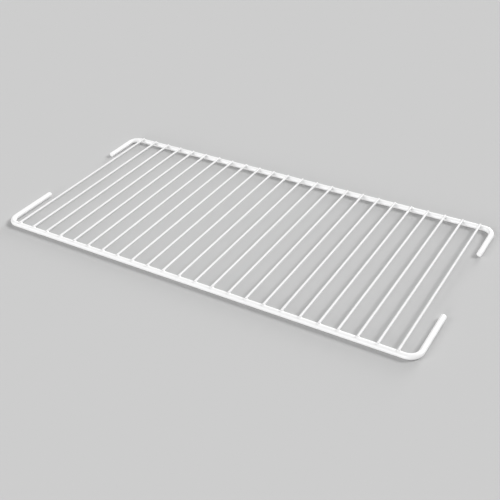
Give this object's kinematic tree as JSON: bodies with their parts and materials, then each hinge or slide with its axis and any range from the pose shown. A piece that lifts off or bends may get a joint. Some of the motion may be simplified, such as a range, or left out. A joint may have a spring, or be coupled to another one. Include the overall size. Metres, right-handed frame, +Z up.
{
  "type": "freezer wire shelf",
  "caption": "Flat freezer shelf of thin cross wires welded on top of a front and a back rod, whose ends bend inwards into hooks that hang on the side supports.",
  "frame": {"origin": "at floor level under the middle of the shelf, where it lies on its two rods", "axes": "+X along the rods to the right, +Y from the front rod to the back rod, +Z up"},
  "size_m": [0.502, 0.243, 0.0079],
  "materials": {
    "white_coating": "smooth semi-gloss white plastic coating on steel wire"
  },
  "bodies": {
    "root": {"front_rod": "white_coating", "back_rod": "white_coating", "cross_wire_01": "white_coating", "cross_wire_02": "white_coating", "cross_wire_03": "white_coating", "cross_wire_04": "white_coating", "cross_wire_05": "white_coating", "cross_wire_06": "white_coating", "cross_wire_07": "white_coating", "cross_wire_08": "white_coating", "cross_wire_09": "white_coating", "cross_wire_10": "white_coating", "cross_wire_11": "white_coating", "cross_wire_12": "white_coating", "cross_wire_13": "white_coating", "cross_wire_14": "white_coating", "cross_wire_15": "white_coating", "cross_wire_16": "white_coating", "cross_wire_17": "white_coating", "cross_wire_18": "white_coating", "cross_wire_19": "white_coating", "cross_wire_20": "white_coating", "cross_wire_21": "white_coating", "cross_wire_22": "white_coating", "cross_wire_23": "white_coating", "cross_wire_24": "white_coating"}
  },
  "joints": []
}
